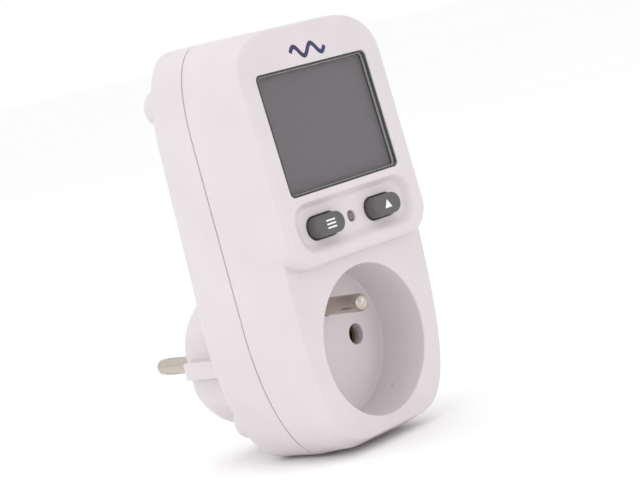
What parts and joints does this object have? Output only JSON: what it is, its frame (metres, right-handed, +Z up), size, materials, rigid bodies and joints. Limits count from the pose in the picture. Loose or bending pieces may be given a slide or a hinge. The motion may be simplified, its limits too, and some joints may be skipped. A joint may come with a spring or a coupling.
{
  "type": "plug-in power meter",
  "caption": "Plug-in power meter: case with a tilted display bezel, two oval buttons, a pinhole reset, a recessed socket in front and a coaxial round plug behind.",
  "frame": {"origin": "midway between the two plug pins on the plug's engagement face", "axes": "+Y along the plug pins towards the wall, +Z up towards the display end, +X to the right seen from the display side"},
  "size_m": [0.059, 0.0764, 0.1112],
  "materials": {
    "white_plastic": "satin moulded, very fine grain",
    "clear_plastic": "clear",
    "display_glass": "grey polariser",
    "button_plastic": "matte",
    "reset_plastic": "matte",
    "nickel": "nickel plated, brushed",
    "brass": "turned",
    "zinc_steel": "zinc plated",
    "circuit_board": "solder mask",
    "chip_black": "moulded",
    "capacitor_yellow": "satin",
    "capacitor_sleeve": "shrink sleeve",
    "varistor_blue": "dipped coating",
    "shunt_alloy": "rolled strip",
    "elastomer": "matte",
    "insulator_white": "moulded",
    "ribbon_grey": "extruded"
  },
  "bodies": {
    "case": {"front_shell": "white_plastic", "rear_shell": "white_plastic", "display_window": "clear_plastic", "display_panel": "display_glass", "display_holder": "insulator_white", "zebra_strip_top": "elastomer", "zebra_strip_bottom": "elastomer", "display_board": "circuit_board", "controller_chip": "chip_black", "quartz_crystal": "zinc_steel", "cell_holder": "chip_black", "backup_cell": "zinc_steel", "mode_switch": "chip_black", "up_switch": "chip_black", "reset_switch": "chip_black", "ribbon_cable": "ribbon_grey", "power_board": "circuit_board", "film_capacitor": "capacitor_yellow", "electrolytic_capacitor": "capacitor_sleeve", "varistor": "varistor_blue", "rectifier": "chip_black", "metering_chip": "chip_black", "current_shunt": "shunt_alloy", "board_screw_left": "zinc_steel", "board_screw_right": "zinc_steel", "contact_carrier": "insulator_white", "live_contact": "brass", "neutral_contact": "brass", "live_link": "brass", "neutral_link": "brass", "earth_pin": "nickel", "earth_strap": "brass", "earth_socket": "brass", "earth_clip_top": "nickel", "earth_clip_bottom": "nickel", "live_pin": "nickel", "neutral_pin": "nickel", "pin_carrier": "insulator_white", "case_screw_top_left": "zinc_steel", "case_screw_top_right": "zinc_steel", "case_screw_bottom_left": "zinc_steel", "case_screw_bottom_right": "zinc_steel"},
    "mode_key": {"mode_button": "button_plastic", "mode_plunger": "reset_plastic"},
    "up_key": {"up_button": "button_plastic", "up_plunger": "reset_plastic"},
    "reset_key": {"reset_button": "reset_plastic", "reset_plunger": "reset_plastic"}
  },
  "joints": [
    {"name": "mode_press", "type": "slide", "parent": "case", "child": "mode_key", "axis": [0, 0.9965, -0.0839], "range_m": [0, 0.0005], "stiffness_N_per_m": 40, "springref_m": -0.002},
    {"name": "up_press", "type": "slide", "parent": "case", "child": "up_key", "axis": [0, 0.9965, -0.0839], "range_m": [0, 0.0005], "stiffness_N_per_m": 40, "springref_m": -0.002},
    {"name": "reset_press", "type": "slide", "parent": "case", "child": "reset_key", "axis": [0, 0.9965, -0.0839], "range_m": [0, 0.0005], "stiffness_N_per_m": 40, "springref_m": -0.002}
  ]
}
